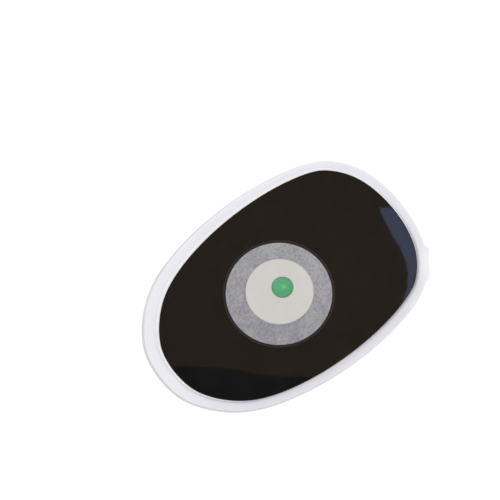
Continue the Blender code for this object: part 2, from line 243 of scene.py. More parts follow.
def rounded_corner(before, corner, after, radius):
    """The arc that rounds a corner of an outline, as points from one side to the other."""
    back = (before - corner).normalized()
    ahead = (after - corner).normalized()
    half = back.angle(ahead) / 2
    centre = corner + (back + ahead).normalized() * radius / math.sin(half)
    spoke = corner + back * radius / math.tan(half) - centre
    turn = math.copysign(math.pi - 2 * half, back.y * ahead.x - back.x * ahead.y)
    return [centre + rotated(spoke, turn * step / ARC_STEPS) for step in range(ARC_STEPS + 1)]


def liner_point(bearing):
    return egg_point(bearing, LINER_MARGIN, LINER_STRETCH)


def laid(point):
    """A point of the liner where the liner lies: turned and slipped a little on the pad."""
    return rotated(point, LINER_TURN) + LINER_SLIP + egg_centre


def bearing_beside_tab(offset):
    """The bearing where the liner's edge lies this far to one side of the tab's centre line."""
    sideways = direction(TAB_BEARING + math.pi / 2)
    middle = liner_point(TAB_BEARING)
    near, far = 0.0, math.copysign(math.pi / 2, offset)
    for _ in range(HALVINGS):
        tried = (near + far) / 2
        reached = (liner_point(TAB_BEARING + tried) - middle).dot(sideways)
        if abs(reached) < abs(offset):
            near = tried
        else:
            far = tried
    return TAB_BEARING + near


def tab_outline(before, after):
    """The tab's four rounded corners as points, between the liner's edge before and after it."""
    half_root = TAB_WIDTH / 2 + TAB_FLARE
    tip = liner_point(TAB_BEARING) + TAB_REACH * direction(TAB_BEARING)
    sideways = TAB_WIDTH / 2 * direction(TAB_BEARING + math.pi / 2)
    roots = [liner_point(bearing_beside_tab(side)) for side in (-half_root, half_root)]
    corners = [before, roots[0], tip - sideways, tip + sideways, roots[1], after]
    radii = [TAB_ROOT_RADIUS, TAB_CORNER_RADIUS, TAB_CORNER_RADIUS, TAB_ROOT_RADIUS]
    tab = []
    for back, corner, ahead, radius in zip(corners, corners[1:], corners[2:], radii):
        tab += rounded_corner(back, corner, ahead, radius)
    return tab


def liner_outline():
    """The liner's edge with its tab, as points, and the bearing of the pad's edge that each faces."""
    beside_tab = TAB_WIDTH / 2 + TAB_FLARE + TAB_ROOT_RADIUS
    first = bearing_beside_tab(beside_tab)
    last = bearing_beside_tab(-beside_tab) + math.tau
    facing = [first + (last - first) * step / OUTLINE_STEPS for step in range(OUTLINE_STEPS + 1)]
    edge = [liner_point(bearing) for bearing in facing]
    tab = tab_outline(edge[-1], edge[0])
    gap = first + math.tau - last
    facing += [last + gap * (step + 1) / (len(tab) + 1) for step in range(len(tab))]
    return [laid(point) for point in edge + tab], [bearing + LINER_TURN for bearing in facing]


def tab_middle():
    middle = laid(liner_point(TAB_BEARING))
    return Vector((middle.x, middle.y, liner_box.top))


# Building skins


def add_mesh(name, points, faces):
    mesh = bpy.data.meshes.new(name)
    mesh.from_pydata([tuple(point) for point in points], [], faces)
    obj = bpy.data.objects.new(name, mesh)
    bpy.context.scene.collection.objects.link(obj)
    return obj


def raised(points, height):
    return [Vector((point.x, point.y, height)) for point in points]


def between(inner, outer, share):
    return [a.lerp(b, share) for a, b in zip(inner, outer)]


def rows_between(inner, outer, count):
    """Loops from the inner one to the outer one, both included."""
    return [between(inner, outer, step / count) for step in range(count + 1)]


def moved_in(points, partners, distance):
    """Points moved by a distance along the straight lines to their partners in another loop."""
    pairs = zip(points, partners)
    return [point + (partner - point).normalized() * distance for point, partner in pairs]


def rounded_edge(points, partners, radius, level, start, stop):
    """Loops round an edge: the angle runs from start to stop, 0 outside and 90 degrees on top."""
    loops = []
    for step in range(ARC_STEPS + 1):
        angle = math.radians(start + (stop - start) * step / ARC_STEPS)
        inset = radius * (1 - math.cos(angle))
        height = level + radius * math.sin(angle)
        loops.append(raised(moved_in(points, partners, inset), height))
    return loops


def skin(name, loops, bands=()):
    """A closed skin over loops of points, the last joined to the first.

    Each band gives a material index and the first and last strip that it covers.
    """
    count = len(loops[0])
    faces = []
    indices = []
    for strip in range(len(loops)):
        here, there = strip * count, (strip + 1) % len(loops) * count
        index = next((number for number, first, last in bands if first <= strip <= last), 0)
        for step in range(count):
            ahead = (step + 1) % count
            faces.append((here + step, there + step, there + ahead, here + ahead))
            indices.append(index)
    obj = add_mesh(name, [point for loop in loops for point in loop], faces)
    obj.data.polygons.foreach_set("material_index", indices)
    obj.data.shade_smooth()
    obj.data.set_sharp_from_angle(angle=SHARP_ANGLE)
    return obj


def smooth(share):
    share = min(max(share, 0.0), 1.0)
    return share * share * (3 - 2 * share)


# The film


def lowered(points, drops, share=0.0):
    """Points with their heights below the face's top, and some share of the free film's waves."""
    row = []
    for point, drop in zip(points, drops):
        wave = noise.noise(Vector((point.x, point.y, 0.0)) * FILM_WAVES_PER_METRE)
        row.append(Vector((point.x, point.y, FILM_LIFT * share * wave - drop)))
    return row


def lifted(row, level):
    return [point + Vector((0.0, 0.0, level)) for point in row]


def foam_rim(turn):
    """How far the foam stands out beyond the face, where the face's edge has this bearing."""
    return max(BACKING_MARGIN + BACKING_SLIP.dot(direction(turn)), NARROWEST_RIM)


def laid_rows(hole, facing):
    """Rows of the film from its hole to the face's edge, where it lies flat on the face."""
    face_edge = [egg_point(turn, 0.0) + egg_centre for turn in facing]
    flat_end = moved_in(face_edge, hole, FILM_FLAT_END)
    level = [0.0] * len(facing)
    return [lowered(loop, level) for loop in rows_between(hole, flat_end, SURFACE_ROWS) + [face_edge]]


def shoulder_rows(facing):
    """Rows of the film down its soft step, from the foam's edge to where it is free."""
    rows = []
    for row in range(SHOULDER_ROWS + 1):
        share = row / SHOULDER_ROWS
        grows = [(1 - share) * foam_rim(turn) + share * FILM_SHOULDER_WIDTH for turn in facing]
        points = [egg_point(turn, grow) + egg_centre for turn, grow in zip(facing, grows)]
        drops = [FILM_SHOULDER_DROP * smooth(grow / FILM_SHOULDER_WIDTH) for grow in grows]
        rows.append(lowered(points, drops))
    return rows


def free_rows(outline, facing, cut_drops):
    """Rows of the free film from the foot of its step to its cut edge."""
    foot = [egg_point(turn, FILM_SHOULDER_WIDTH) + egg_centre for turn in facing]
    border = moved_in(outline, foot, FILM_BORDER_WIDTH)
    drops = [FILM_SHOULDER_DROP] * len(facing)
    rows = []
    for row, loop in enumerate(rows_between(foot, border, FREE_ROWS)[1:]):
        rows.append(lowered(loop, drops, smooth((row + 1) / FREE_ROWS)))
    rows.append(lowered(moved_in(outline, border, FILM_EDGE_RADIUS), cut_drops, 1.0))
    return rows


def make_liner():
    """The film: flat on the face, down a soft shoulder beside it, then free to its cut edge."""
    outline, facing = liner_outline()
    hole_reach = ring_box.radius + LINER_HOLE_MARGIN
    hole = [ring_box.centre + hole_reach * direction(turn) for turn in facing]
    cut_drops = [FILM_SHOULDER_DROP + FILM_BORDER_DROP] * len(facing)
    on_face = laid_rows(hole, facing)
    rows = on_face + shoulder_rows(facing) + free_rows(outline, facing, cut_drops)

    middle_level = (film_under + liner_box.top) / 2
    hole_side = raised(moved_in(hole, outline, -FILM_EDGE_RADIUS), middle_level)
    cut_side = lifted(lowered(outline, cut_drops, 1.0), middle_level)
    top = [lifted(row, liner_box.top) for row in rows]
    under = [lifted(row, film_under) for row in rows]
    loops = [hole_side] + top + [cut_side] + under[::-1]

    edge_strip = len(on_face)
    cut_strip = len(rows)
    last_strip = len(loops) - 1
    contact_strip = last_strip - edge_strip
    bands = (
        (FILM_HOLE_CUT, 0, 0),
        (FILM_LAID, 1, edge_strip - 1),
        (FILM_CUT, cut_strip, cut_strip + 1),
        (FILM_BORDER, cut_strip + 2, cut_strip + 3),
        (FILM_FREE, cut_strip + 4, contact_strip - 1),
        (FILM_LAID, contact_strip, last_strip - 1),
        (FILM_HOLE_CUT, last_strip, last_strip),
    )
    return skin("clear_liner", loops, bands)


# The other soft layers


def make_face():
    """The black sheet: glossy and bare at its hole and its cut edge, covered by the film between."""
    hole_radius = ring_box.radius + LAID_GAP
    hole = circle(ring_box.centre, hole_radius)
    foot = circle(ring_box.centre, hole_radius - FACE_FOOT_WIDTH)
    bare_end = circle(ring_box.centre, ring_box.radius + LINER_HOLE_MARGIN + CONTACT_GAP)
    outline = egg(0.0)
    under, top = face_box.under, face_box.top - CONTACT_GAP
    foot_top = under + FACE_FOOT_THICKNESS
    radius = FACE_HOLE_EDGE_RADIUS
    inner_edge = rounded_edge(hole, outline, radius, top - radius, 0.0, 90.0)
    radius = FACE_EDGE_RADIUS
    outer_edge = rounded_edge(outline, hole, radius, top - radius, 90.0, 0.0)
    flat_end = raised(moved_in(outline, hole, radius + FILM_FLAT_END), top)
    covered = rows_between(raised(bare_end, top), flat_end, SURFACE_ROWS)
    lower = rows_between(raised(outline, under), raised(foot, under), SURFACE_ROWS // 2)

    inner = [raised(foot, foot_top), raised(hole, foot_top)] + inner_edge
    loops = inner + covered + outer_edge + lower
    bands = ((FACE_COVERED, len(inner), len(inner) + len(covered) - 1),)
    return skin("sticky_face", loops, bands)


def make_ring():
    """The non-woven ring, slightly lumpy on top."""
    hole = circle(base_box.centre, ring_hole_radius)
    outline = circle(ring_box.centre, ring_box.radius)
    under, top = ring_box.under, ring_box.top
    radius = RING_EDGE_RADIUS
    inner_edge = rounded_edge(hole, outline, radius, top - radius, 0.0, 90.0)
    outer_edge = rounded_edge(outline, hole, radius, top - radius, 90.0, 0.0)
    upper = rows_between(inner_edge[-1], outer_edge[0], SURFACE_ROWS)[1:-1]
    for loop in upper:
        for point in loop:
            lump = 0.5 + 0.5 * noise.noise(point * RING_LUMPS_PER_METRE)
            point.z -= RING_LUMPS * lump
    lower = rows_between(raised(outline, under), raised(hole, under), SURFACE_ROWS // 2)
    return skin("woven_ring", inner_edge + upper + outer_edge + lower)


def inside_ring(place):
    """True where a fibre may lie: clear of the ring's outer edge and of the sensor's cover."""
    from_ring = (place - ring_box.centre).length
    from_sensor = (place - base_box.centre).length
    return from_ring < ring_box.radius and from_sensor > cover_box.radius


def fibre_line(chance):
    """One fibre's points: a line that wanders gently on the ring, or none where it is too short."""
    bearing = chance.uniform(0.0, math.tau)
    radius = chance.uniform(cover_box.radius, ring_box.radius)
    place = ring_box.centre + radius * direction(bearing)
    heading = chance.uniform(0.0, math.tau)
    bend = chance.uniform(-FIBRE_BEND, FIBRE_BEND)
    level = ring_box.top - FIBRE_RADIUS * chance.uniform(FIBRE_LEAST_SUNK, FIBRE_MOST_SUNK)
    line = []
    for _ in range(FIBRE_POINTS):
        if not inside_ring(place):
            break
        rise = FIBRE_RADIUS * chance.uniform(-FIBRE_RISE, FIBRE_RISE)
        line.append(Vector((place.x, place.y, level + rise)))
        heading += bend + chance.uniform(-FIBRE_WANDER, FIBRE_WANDER)
        place = place + FIBRE_STEP * direction(heading)
    return line if len(line) >= FIBRE_FEWEST_POINTS else []


def tube_points(line):
    """Points of a fibre's rings along a line that lies nearly flat."""
    points = []
    for index, place in enumerate(line):
        ahead = line[min(index + 1, len(line) - 1)]
        behind = line[max(index - 1, 0)]
        along = (ahead - behind).normalized()
        side = along.cross(Vector((0.0, 0.0, 1.0))).normalized()
        up = side.cross(along)
        for corner in range(FIBRE_SIDES):
            angle = math.tau * corner / FIBRE_SIDES + math.pi / 2
            points.append(place + FIBRE_RADIUS * (side * math.cos(angle) + up * math.sin(angle)))
    return points


def tube_faces(start, count):
    """Faces of a closed tube whose points begin at start and make this many rings."""
    end = start + (count - 1) * FIBRE_SIDES
    faces = [
        tuple(start + corner for corner in range(FIBRE_SIDES)),
        tuple(end + corner for corner in reversed(range(FIBRE_SIDES))),
    ]
    for here in range(start, end, FIBRE_SIDES):
        there = here + FIBRE_SIDES
        for corner in range(FIBRE_SIDES):
            ahead = (corner + 1) % FIBRE_SIDES
            faces.append((here + corner, there + corner, there + ahead, here + ahead))
    return faces


def make_fibres():
    """Loose fibres on top of the non-woven ring."""
    chance = random.Random(SEED)
    points, faces = [], []
    for _ in range(FIBRE_COUNT):
        line = fibre_line(chance)
        if line:
            faces += tube_faces(len(points), len(line))
            points += tube_points(line)
    fibres = add_mesh("ring_fibres", points, faces)
    fibres.data.shade_smooth()
    return fibres


def make_foam():
    """The backing: cut edge, dished top for the flange and pressed-out back."""
    centre = base_box.centre
    dish_radius = base_box.radius + DISH_CLEARANCE
    plateau_radius = dish_radius + BACKING_THICKNESS
    plateau, top = foam_box.under, foam_box.top
    dish_floor = plateau + BACKING_THICKNESS
    field = top - BACKING_THICKNESS
    outline = egg(BACKING_MARGIN, BACKING_SLIP)
    hole = circle(centre, BOSS_RADIUS + LAID_GAP)
    dish = circle(centre, dish_radius)
    slope_end = circle(centre, plateau_radius + PLATEAU_SLOPE)
    radius = FOAM_EDGE_RADIUS

    loops = [raised(hole, plateau), raised(hole, dish_floor)]
    loops += [raised(dish, dish_floor), raised(dish, top)]
    outer_edge = rounded_edge(outline, hole, radius, top - radius, 90.0, 0.0)
    loops += rows_between(raised(dish, top), outer_edge[0], SURFACE_ROWS)[1:-1] + outer_edge
    loops.append(raised(moved_in(outline, hole, FOAM_SIDE_HOLLOW), (top + field) / 2))
    loops += rounded_edge(outline, hole, radius, field + radius, 0.0, -90.0)
    loops += rows_between(loops[-1], raised(slope_end, field), SURFACE_ROWS)[1:]
    for step in range(1, SURFACE_ROWS + 1):
        share = 1 - step / SURFACE_ROWS
        level = plateau + (field - plateau) * smooth(share)
        loops.append(raised(circle(centre, plateau_radius + PLATEAU_SLOPE * share), level))
    return skin("foam_pad", loops)


# Finishes


class Finish:
    """A material's node tree, with short calls to add nodes and link them.

    Where plastic is False, it has no Principled shader and gets a surface of its own.
    """

    def __init__(self, name, plastic=True):
        self.material = bpy.data.materials.new(name)
        self.material.use_nodes = True
        self.tree = self.material.node_tree
        self.shader = self.tree.nodes["Principled BSDF"]
        self.output = self.tree.nodes["Material Output"]
        self.place = self.node("ShaderNodeTexCoord").outputs["Object"]
        if not plastic:
            self.tree.nodes.remove(self.shader)

    def node(self, kind, **settings):
        made = self.tree.nodes.new(kind)
        for name, value in settings.items():
            setattr(made, name, value)
        return made

    def link(self, source, target):
        self.tree.links.new(source, target)

    def set(self, **values):
        for name, value in values.items():
            self.shader.inputs[name.replace("_", " ")].default_value = value

    def to(self, name, source):
        self.link(source, self.shader.inputs[name])

    def surface(self, source):
        self.link(source, self.output.inputs["Surface"])

    def noise(self, scale, detail=3.0, roughness=0.5, distortion=0.0):
        made = self.node("ShaderNodeTexNoise")
        made.inputs["Scale"].default_value = scale
        made.inputs["Detail"].default_value = detail
        made.inputs["Roughness"].default_value = roughness
        made.inputs["Distortion"].default_value = distortion
        self.link(self.place, made.inputs["Vector"])
        return made.outputs["Fac"]

    def cells(self, scale):
        made = self.node("ShaderNodeTexVoronoi")
        made.inputs["Scale"].default_value = scale
        self.link(self.place, made.inputs["Vector"])
        return made.outputs["Distance"]

    def weave(self, scale):
        made = self.node("ShaderNodeTexChecker")
        made.inputs["Scale"].default_value = scale
        self.link(self.place, made.inputs["Vector"])
        return made.outputs["Fac"]

    def tones(self, source, dark, light, start=0.3, stop=0.7):
        """A colour that runs from dark to light while a number runs from start to stop."""
        made = self.node("ShaderNodeValToRGB")
        elements = made.color_ramp.elements
        for element, position, colour in zip(elements, (start, stop), (dark, light)):
            element.position = position
            element.color = (*colour, 1.0)
        self.link(source, made.inputs["Fac"])
        return made.outputs["Color"]

    def ranged(self, source, low, high, start=0.3, stop=0.7):
        """A number that runs from low to high while another runs from start to stop."""
        made = self.node("ShaderNodeMapRange")
        made.inputs["From Min"].default_value = start
        made.inputs["From Max"].default_value = stop
        made.inputs["To Min"].default_value = low
        made.inputs["To Max"].default_value = high
        self.link(source, made.inputs["Value"])
        return made.outputs["Result"]

    def bump(self, source, distance, strength=1.0, after=None):
        made = self.node("ShaderNodeBump")
        made.inputs["Strength"].default_value = strength
        made.inputs["Distance"].default_value = distance
        self.link(source, made.inputs["Height"])
        if after:
            self.link(after, made.inputs["Normal"])
        return made.outputs["Normal"]

    def feed(self, value, target):
        """Gives an input its value, which is a plain number or a socket."""
        if isinstance(value, bpy.types.NodeSocket):
            self.link(value, target)
        else:
            target.default_value = value

    def calculate(self, operation, one, other):
        """The result of an operation on two values, each a plain number or a socket."""
        made = self.node("ShaderNodeMath", operation=operation)
        self.feed(one, made.inputs[0])
        self.feed(other, made.inputs[1])
        return made.outputs["Value"]

    def drift(self, along, reach, unevenness=0.2, cloud_scale=45.0):
        """A number that runs from 0 at one side of the pad to 1 at the other, a little unevenly."""
        side = self.node("ShaderNodeVectorMath", operation="DOT_PRODUCT")
        self.link(self.place, side.inputs[0])
        side.inputs[1].default_value = (along.x, along.y, 0.0)
        across = self.ranged(side.outputs["Value"], 0.0, 1.0, -reach, reach)
        cloud = self.ranged(self.noise(cloud_scale), -unevenness, unevenness)
        return self.calculate("ADD", across, cloud)

    def nearness(self, centre, near, far):
        """A number that falls from 1 within the near distance of a point to 0 at the far one."""
        distance = self.node("ShaderNodeVectorMath", operation="DISTANCE")
        self.link(self.place, distance.inputs[0])
        distance.inputs[1].default_value = centre
        return self.ranged(distance.outputs["Value"], 1.0, 0.0, near, far)

    def height(self, low, high):
        """A number that runs from 0 at one level to 1 at another."""
        split = self.node("ShaderNodeSeparateXYZ")
        self.link(self.place, split.inputs["Vector"])
        return self.ranged(split.outputs["Z"], 0.0, 1.0, low, high)

    def blend(self, share, colour, other):
        """A colour that turns into another one, given in plain numbers, as the share nears 1."""
        made = self.node("ShaderNodeMix", data_type="RGBA")
        self.link(share, made.inputs["Factor"])
        self.link(colour, made.inputs["A"])
        made.inputs["B"].default_value = (*other, 1.0)
        return made.outputs["Result"]

    def multiply(self, colour, other):
        made = self.node("ShaderNodeMix", data_type="RGBA", blend_type="MULTIPLY")
        made.inputs["Factor"].default_value = 1.0
        self.link(colour, made.inputs["A"])
        self.link(other, made.inputs["B"])
        return made.outputs["Result"]

    def glow(self, colour, strength):
        """Light of its own, at a strength that is a plain number or a socket."""
        made = self.node("ShaderNodeEmission")
        made.inputs["Color"].default_value = (*colour, 1.0)
        self.feed(strength, made.inputs["Strength"])
        return made.outputs["Emission"]

    def mixed(self, share, one, other):
        """A surface that turns into another one as the share nears 1."""
        made = self.node("ShaderNodeMixShader")
        self.link(share, made.inputs["Fac"])
        self.link(one, made.inputs[1])
        self.link(other, made.inputs[2])
        return made.outputs["Shader"]


def film_waves(finish):
    return finish.bump(finish.noise(scale=22.0, detail=1.0), 0.02 * MM)


def laid_film():
    """The film where it lies on the face: the sheet under it carries its gloss."""
    finish = Finish("film_laid", plastic=False)
    clear = finish.node("ShaderNodeBsdfTransparent")
    side = finish.drift(direction(0.0), FILM_DRIFT_REACH)
    tint = finish.tones(side, (0.97, 0.97, 0.98), (0.984, 0.984, 0.992), start=0.0, stop=1.0)
    finish.link(tint, clear.inputs["Color"])
    finish.surface(clear.outputs["BSDF"])
    return finish.material


def painted_step_shade(finish):
    """A number that is 1 at the top of the film's step and 0 at its foot.

    It is the mask of a painted shade in the film's tint, and fades to 0 towards the side of the key
    lamp, where the step lies in the light.
    """
    middle = egg_point(STEP_SHADE_BEARING, 0.0) + egg_centre
    centre = (middle.x, middle.y, film_under)
    steep = finish.height(film_under - FILM_SHOULDER_DROP, film_under)
    shaded_side = finish.nearness(centre, STEP_SHADE_NEAR, STEP_SHADE_FAR)
    return finish.calculate("MULTIPLY", steep, shaded_side)


def film_gloss(finish):
    """The film's reflection, and its strength: by angle on the film's outer side, 0 on the inner."""
    gloss = finish.node("ShaderNodeBsdfGlossy")
    gloss.inputs["Color"].default_value = (*WHITE, 1.0)
    roughness = finish.ranged(finish.noise(scale=60.0), *FILM_ROUGHNESS)
    waves = film_waves(finish)
    fresnel = finish.node("ShaderNodeFresnel")
    fresnel.inputs["IOR"].default_value = FILM_IOR
    finish.link(roughness, gloss.inputs["Roughness"])
    finish.link(waves, gloss.inputs["Normal"])
    finish.link(waves, fresnel.inputs["Normal"])
    geometry = finish.node("ShaderNodeNewGeometry")
    outer_side = finish.calculate("SUBTRACT", 1.0, geometry.outputs["Backfacing"])
    strength = finish.calculate("MULTIPLY", fresnel.outputs["Fac"], outer_side)
    return gloss.outputs["BSDF"], strength


def clear_film(name, low, high, along=direction(0.0), patches=(), step_shade_colour=None):
    """Clear film, faintly uneven, with a smooth, slightly wavy gloss on its outer side.

    The tint drifts from the low one to the high one along a direction. Each patch has a centre, a
    near and a far distance and a tint of its own. On the free film and its border, the drift and the
    patches are painted light and shade. The step shade colour is painted shade on the steep part
    beside the face, on the side away from the key lamp.
    """
    finish = Finish(name, plastic=False)
    clear = finish.node("ShaderNodeBsdfTransparent")
    tint = finish.tones(finish.drift(along, FILM_DRIFT_REACH), low, high, start=0.0, stop=1.0)
    # Each patch paints light or shade into the film's tint
    for centre, near, far, painted_patch_colour in patches:
        tint = finish.blend(finish.nearness(centre, near, far), tint, painted_patch_colour)
    if step_shade_colour:
        # Painted shade: the film darkens on its step, on the side away from the key lamp
        tint = finish.blend(painted_step_shade(finish), tint, step_shade_colour)
    finish.link(tint, clear.inputs["Color"])
    gloss, strength = film_gloss(finish)
    finish.surface(finish.mixed(strength, clear.outputs["BSDF"], gloss))
    return finish.material


def film_cut(name, alpha):
    """The film's cut edge, which is slightly milky."""
    finish = Finish(name)
    finish.set(Roughness=0.35, Alpha=alpha)
    clouds = finish.noise(scale=900.0)
    finish.to("Base Color", finish.tones(clouds, (0.32, 0.31, 0.35), (0.40, 0.39, 0.43)))
    finish.to("Normal", finish.bump(finish.noise(scale=2500.0), 0.01 * MM))
    return finish.material


def adhesive(name, dark, light, gloss, roughness):
    finish = Finish(name)
    finish.set(Specular_IOR_Level=gloss)
    patches = finish.noise(scale=90.0, detail=5.0, roughness=0.6)
    finish.to("Base Color", finish.tones(patches, dark, light, start=0.35, stop=0.65))
    finish.to("Roughness", finish.ranged(finish.noise(scale=400.0), *roughness))
    return finish


def bare_adhesive():
    """The black adhesive where no film lies on it."""
    dark, light = (0.0160, 0.0138, 0.0108), (0.0195, 0.0168, 0.0132)
    finish = adhesive("adhesive_bare", dark, light, gloss=0.25, roughness=(0.28, 0.38))
    finish.to("Normal", finish.bump(finish.noise(scale=1400.0, detail=4.0), 0.01 * MM))
    return finish.material


def covered_adhesive():
    """The black adhesive under the film, with the film's smooth gloss."""
    dark, light = (0.0085, 0.0083, 0.0080), (0.0110, 0.0105, 0.0098)
    finish = adhesive("adhesive_covered", dark, light, gloss=0.5, roughness=FILM_ROUGHNESS)
    finish.to("Normal", film_waves(finish))
    return finish.material


def fabric_clouds(finish, dark, light):
    """Cloudy patches of thicker and thinner felt, the same for the ring and its fibres."""
    clouds = finish.noise(scale=780.0, detail=3.0, roughness=0.6, distortion=0.5)
    patches = finish.drift(direction(FELT_DRIFT), FELT_DRIFT_REACH, unevenness=0.4, cloud_scale=160.0)
    cool, warm = (0.800, 0.787, 0.842), (1.010, 1.010, 0.995)
    tints = finish.tones(patches, cool, warm, start=0.0, stop=1.0)
    return finish.multiply(finish.tones(clouds, dark, light, start=0.32, stop=0.68), tints)


def non_woven():
    """Pressed grey fibres: cloudy patches, fine fibre grain and a rough, sheenless surface."""
    finish = Finish("non_woven")
    finish.set(Roughness=0.95, Specular_IOR_Level=0.2)
    finish.to("Base Color", fabric_clouds(finish, (0.275, 0.272, 0.286), (0.425, 0.421, 0.428)))
    grain = finish.noise(scale=3200.0, detail=3.0, distortion=1.5)
    finish.to("Normal", finish.bump(grain, 0.08 * MM))
    return finish.material


def fibre():
    """Loose fibres: as cloudy as the felt under them, and each of a slightly different grey."""
    finish = Finish("fibre")
    finish.set(Roughness=0.7, Specular_IOR_Level=0.3)
    each = finish.node("ShaderNodeNewGeometry").outputs["Random Per Island"]
    greys = finish.tones(each, (0.82, 0.81, 0.83), WHITE, start=0.0, stop=1.0)
    clouds = fabric_clouds(finish, (0.365, 0.361, 0.379), (0.545, 0.541, 0.550))
    finish.to("Base Color", finish.multiply(clouds, greys))
    return finish.material


def foam():
    """Closed-cell foam with a smooth, finely pitted skin."""
    finish = Finish("foam")
    finish.set(Specular_IOR_Level=0.25, Subsurface_Weight=0.3, Subsurface_Scale=1.0 * MM)
    finish.set(Subsurface_Radius=(1.0, 1.0, 1.0))
    clouds = finish.noise(scale=55.0, detail=4.0)
    finish.to("Base Color", finish.tones(clouds, (0.92, 0.915, 0.90), (0.95, 0.945, 0.93)))
    finish.to("Roughness", finish.ranged(finish.noise(scale=700.0), 0.55, 0.75))
    pits = finish.bump(finish.cells(scale=2600.0), 0.03 * MM, strength=0.6)
    swells = finish.noise(scale=180.0, detail=2.0)
    finish.to("Normal", finish.bump(swells, 0.05 * MM, after=pits))
    return finish.material


def moulded(name, dark, light, roughness):
    """Moulded plastic: slight mottling and the fine grain of a spark-finished mould."""
    finish = Finish(name)
    finish.to("Base Color", finish.tones(finish.noise(scale=130.0, detail=3.0), dark, light))
    finish.to("Roughness", finish.ranged(finish.noise(scale=500.0), *roughness))
    finish.to("Normal", finish.bump(finish.noise(scale=2200.0, detail=2.0), 0.012 * MM))
    return finish


def button_plastic():
    """Smooth green plastic that lets a little light in."""
    dark, light = (0.076, 0.355, 0.150), (0.088, 0.385, 0.168)
    finish = moulded("button_plastic", dark, light, roughness=(0.12, 0.16))
    finish.set(Subsurface_Weight=0.15, Subsurface_Scale=1.0 * MM)
    return finish.material


def laminate():
    """Solder mask over woven glass."""
    finish = Finish("laminate")
    finish.set(Roughness=0.35)
    clouds = finish.noise(scale=200.0)
    finish.to("Base Color", finish.tones(clouds, (0.020, 0.150, 0.065), (0.030, 0.190, 0.085)))
    finish.to("Normal", finish.bump(finish.weave(scale=1600.0), 0.01 * MM))
    return finish.material


def give(obj, *materials):
    """Puts materials in an object's slots, which keep their faces."""
    slots = obj.data.materials
    for number, material in enumerate(materials):
        if number < len(slots):
            slots[number] = material
        else:
            slots.append(material)


# Dressing


def dress_liner():
    liner = make_liner()
    # Painted light by the tab, where the floor under the film lies clear of the pad's shadow, and painted
    # shade on the pad's near side
    tab_painted_light = (tab_middle(), TAB_LIGHT_NEAR, TAB_LIGHT_FAR, (0.89, 0.887, 0.918))
    near_painted_shade = (NEAR_SHADE_CENTRE, NEAR_SHADE_NEAR, NEAR_SHADE_FAR, (0.803, 0.795, 0.833))
    top = clear_film("film_top", (0.985, 0.985, 0.990), (0.992, 0.992, 0.996))
    # The free film's tint drifts darker away from the key lamp's side: painted light and shade, not a
    # tint of the film
    free = clear_film(
        "film_free",
        (0.822, 0.814, 0.852),
        (0.870, 0.866, 0.902),
        along=direction(FREE_FILM_SHADE_DRIFT),
        patches=(tab_painted_light, near_painted_shade),
        step_shade_colour=(0.42, 0.415, 0.43),
    )
    # The border's tint darkens towards -X: painted shade along the film's cut edge
    border = clear_film(
        "film_border_painted_shade", (0.66, 0.66, 0.675), (0.86, 0.855, 0.89), patches=(tab_painted_light,)
    )
    outer_cut = film_cut("film_cut", alpha=0.20)
    hole_cut = film_cut("film_hole_cut", alpha=0.06)
    give(liner, top, free, laid_film(), outer_cut, border, hole_cut)
    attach(liner, "pad")
    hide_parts("release_liner")


def dress_face():
    face = make_face()
    give(face, bare_adhesive(), covered_adhesive())
    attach(face, "pad")
    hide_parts("adhesive_face")


def dress_ring():
    ring = make_ring()
    give(ring, non_woven())
    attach(ring, "pad")
    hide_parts("fabric_ring")

    fibres = make_fibres()
    give(fibres, fibre())
    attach(fibres, "pad")


def dress_foam():
    pad = make_foam()
    give(pad, foam())
    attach(pad, "pad")
    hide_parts("foam_backing")


def dress_solids():
    """Finishes for the moulded pieces and the board, which keep their solids."""
    plastics = (
        ("sensor_cover", "cover_plastic", (0.575, 0.562, 0.526), (0.605, 0.590, 0.554), (0.60, 0.75)),
        ("sensor_base", "base_plastic", (0.930, 0.915, 0.880), (0.955, 0.945, 0.910), (0.42, 0.55)),
        ("switch_case", "switch_plastic", (0.020, 0.020, 0.020), (0.035, 0.034, 0.033), (0.45, 0.60)),
        ("switch_plunger", "plunger_plastic", (0.700, 0.690, 0.650), (0.760, 0.750, 0.710), (0.30, 0.40)),
    )
    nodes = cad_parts
    for node, name, dark, light, roughness in plastics:
        give(nodes[node], moulded(name, dark, light, roughness).material)
    give(nodes["sensor_button"], button_plastic())
    give(nodes["circuit_board"], laminate())


# Studio


def towards(azimuth, elevation):
    level = math.cos(elevation)
    return Vector((math.sin(azimuth) * level, -math.cos(azimuth) * level, math.sin(elevation)))


def aim(obj, forwards):
    """Turns a camera or lamp so that it looks along a direction."""
    obj.rotation_mode = "QUATERNION"
    obj.rotation_quaternion = forwards.to_track_quat("-Z", "Y")


def make_camera():
    data = bpy.data.cameras.new("camera")
    data.lens = data.sensor_width * CAMERA_DISTANCE / VIEW_WIDTH
    data.clip_start = CLIP_NEAR
    data.clip_end = CLIP_FAR
    camera = bpy.data.objects.new("camera", data)
    back = towards(CAMERA_AZIMUTH, CAMERA_ELEVATION)
    camera.location = VIEW_CENTRE + back * CAMERA_DISTANCE
    aim(camera, -back)
    bpy.context.scene.collection.objects.link(camera)
    bpy.context.scene.camera = camera


